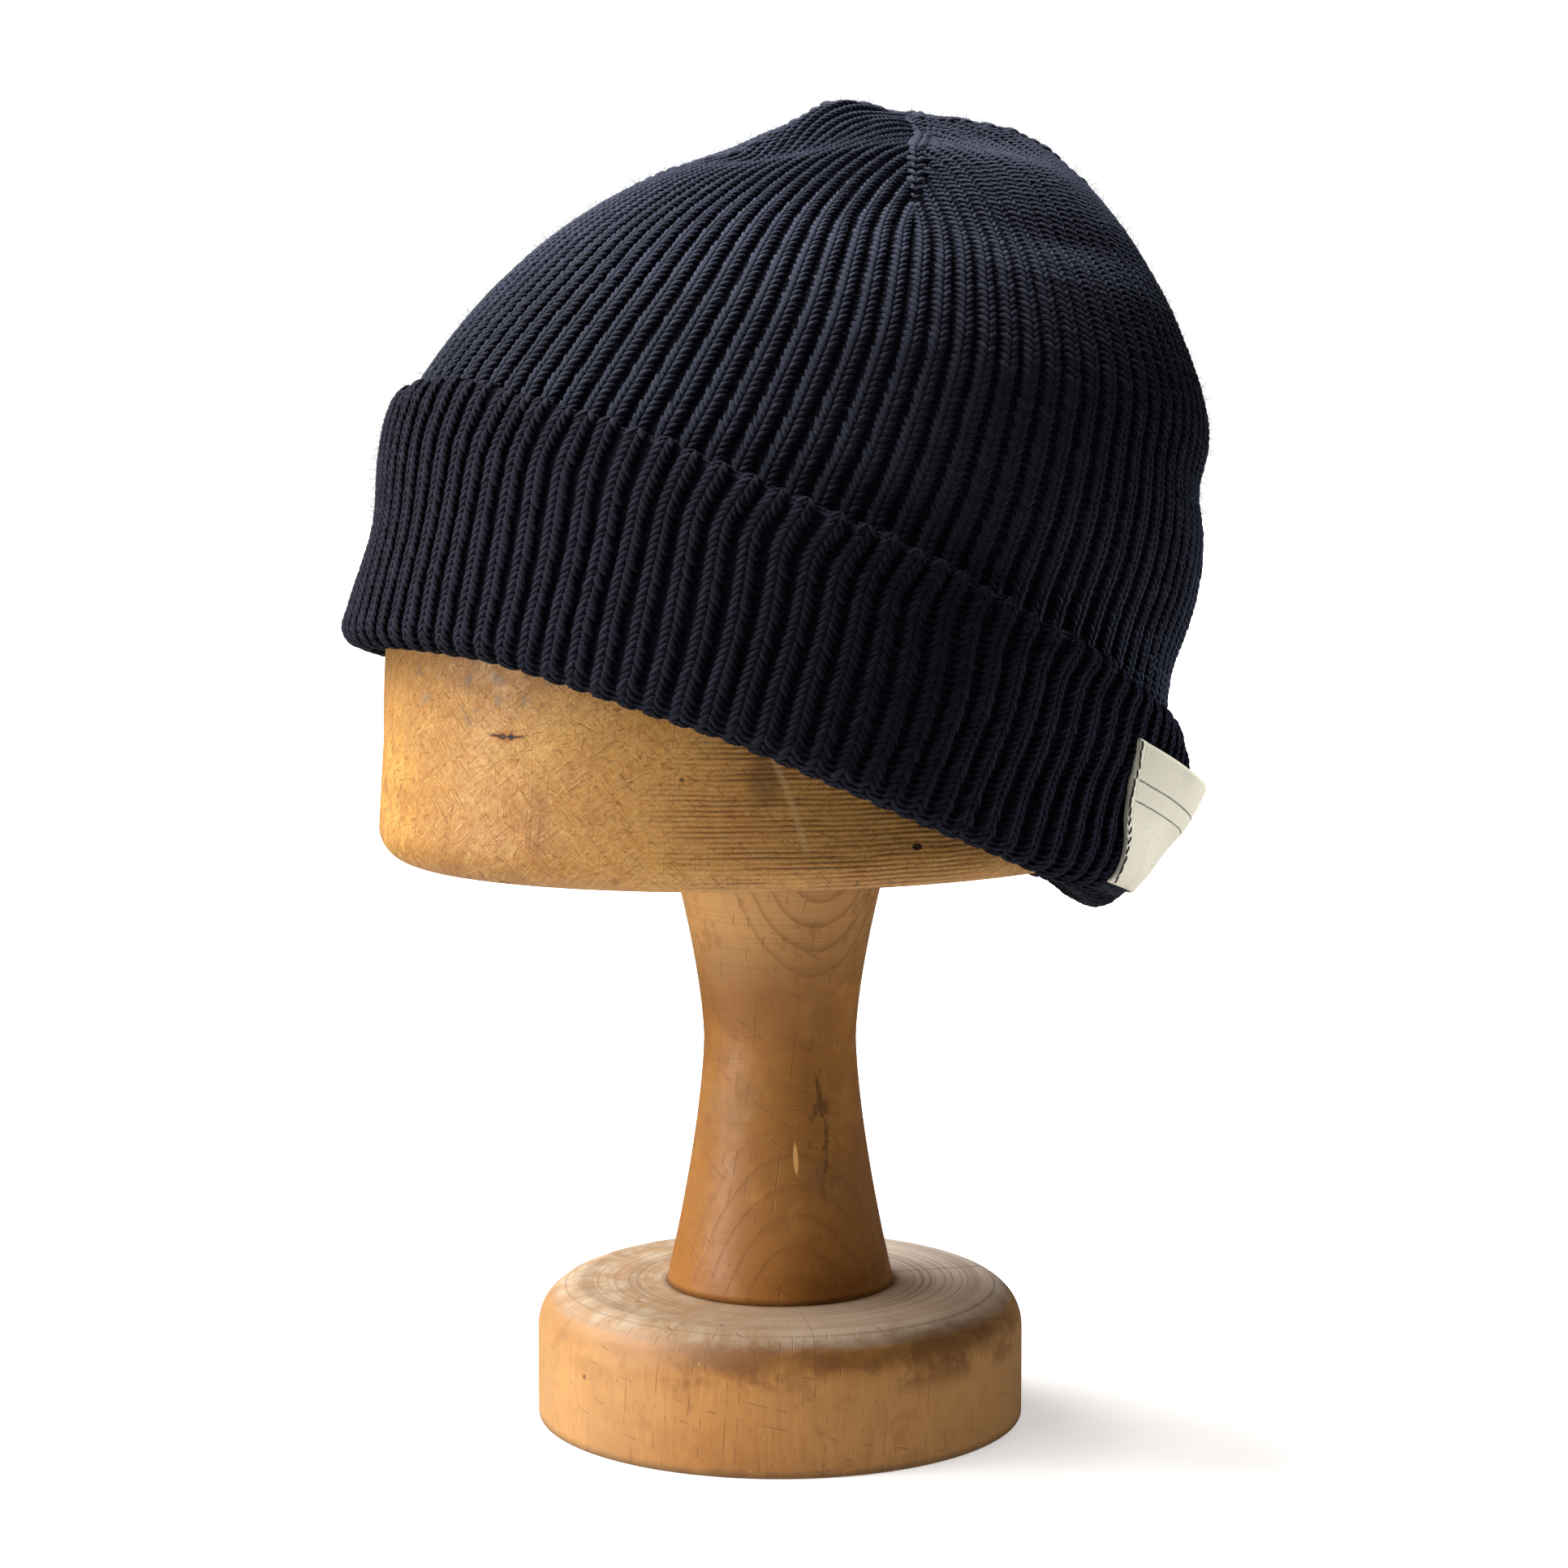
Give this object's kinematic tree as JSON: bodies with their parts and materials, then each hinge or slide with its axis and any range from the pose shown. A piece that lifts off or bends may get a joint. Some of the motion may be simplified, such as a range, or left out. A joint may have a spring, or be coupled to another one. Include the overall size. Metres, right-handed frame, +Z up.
{
  "type": "watch cap on a hat stand",
  "caption": "Dark rib-knit watch cap with a turned-up cuff and a plain cloth label, pulled slanting over an oval wooden hat block on a turned stem and a round foot.",
  "frame": {"origin": "centre of the round underside of the stand's foot", "axes": "+Z up along the stem; -Y towards the raised front of the cuff, +Y towards its low back; +X on the label's side"},
  "size_m": [0.1842, 0.2166, 0.3271],
  "materials": {
    "base_wood": "worn waxed wood, grey on the top face",
    "stem_wood": "turned waxed wood, browner than the block",
    "block_wood": "smooth pale honey wood with scratches",
    "navy_knit": "matt rib-knit wool, very dark navy",
    "label_tape": "plain cream cotton tape"
  },
  "bodies": {
    "root": {"stand_base": "base_wood", "stand_stem": "stem_wood", "hat_block": "block_wood", "cap_crown": "navy_knit", "cap_cuff": "navy_knit", "label": "label_tape"}
  },
  "joints": []
}
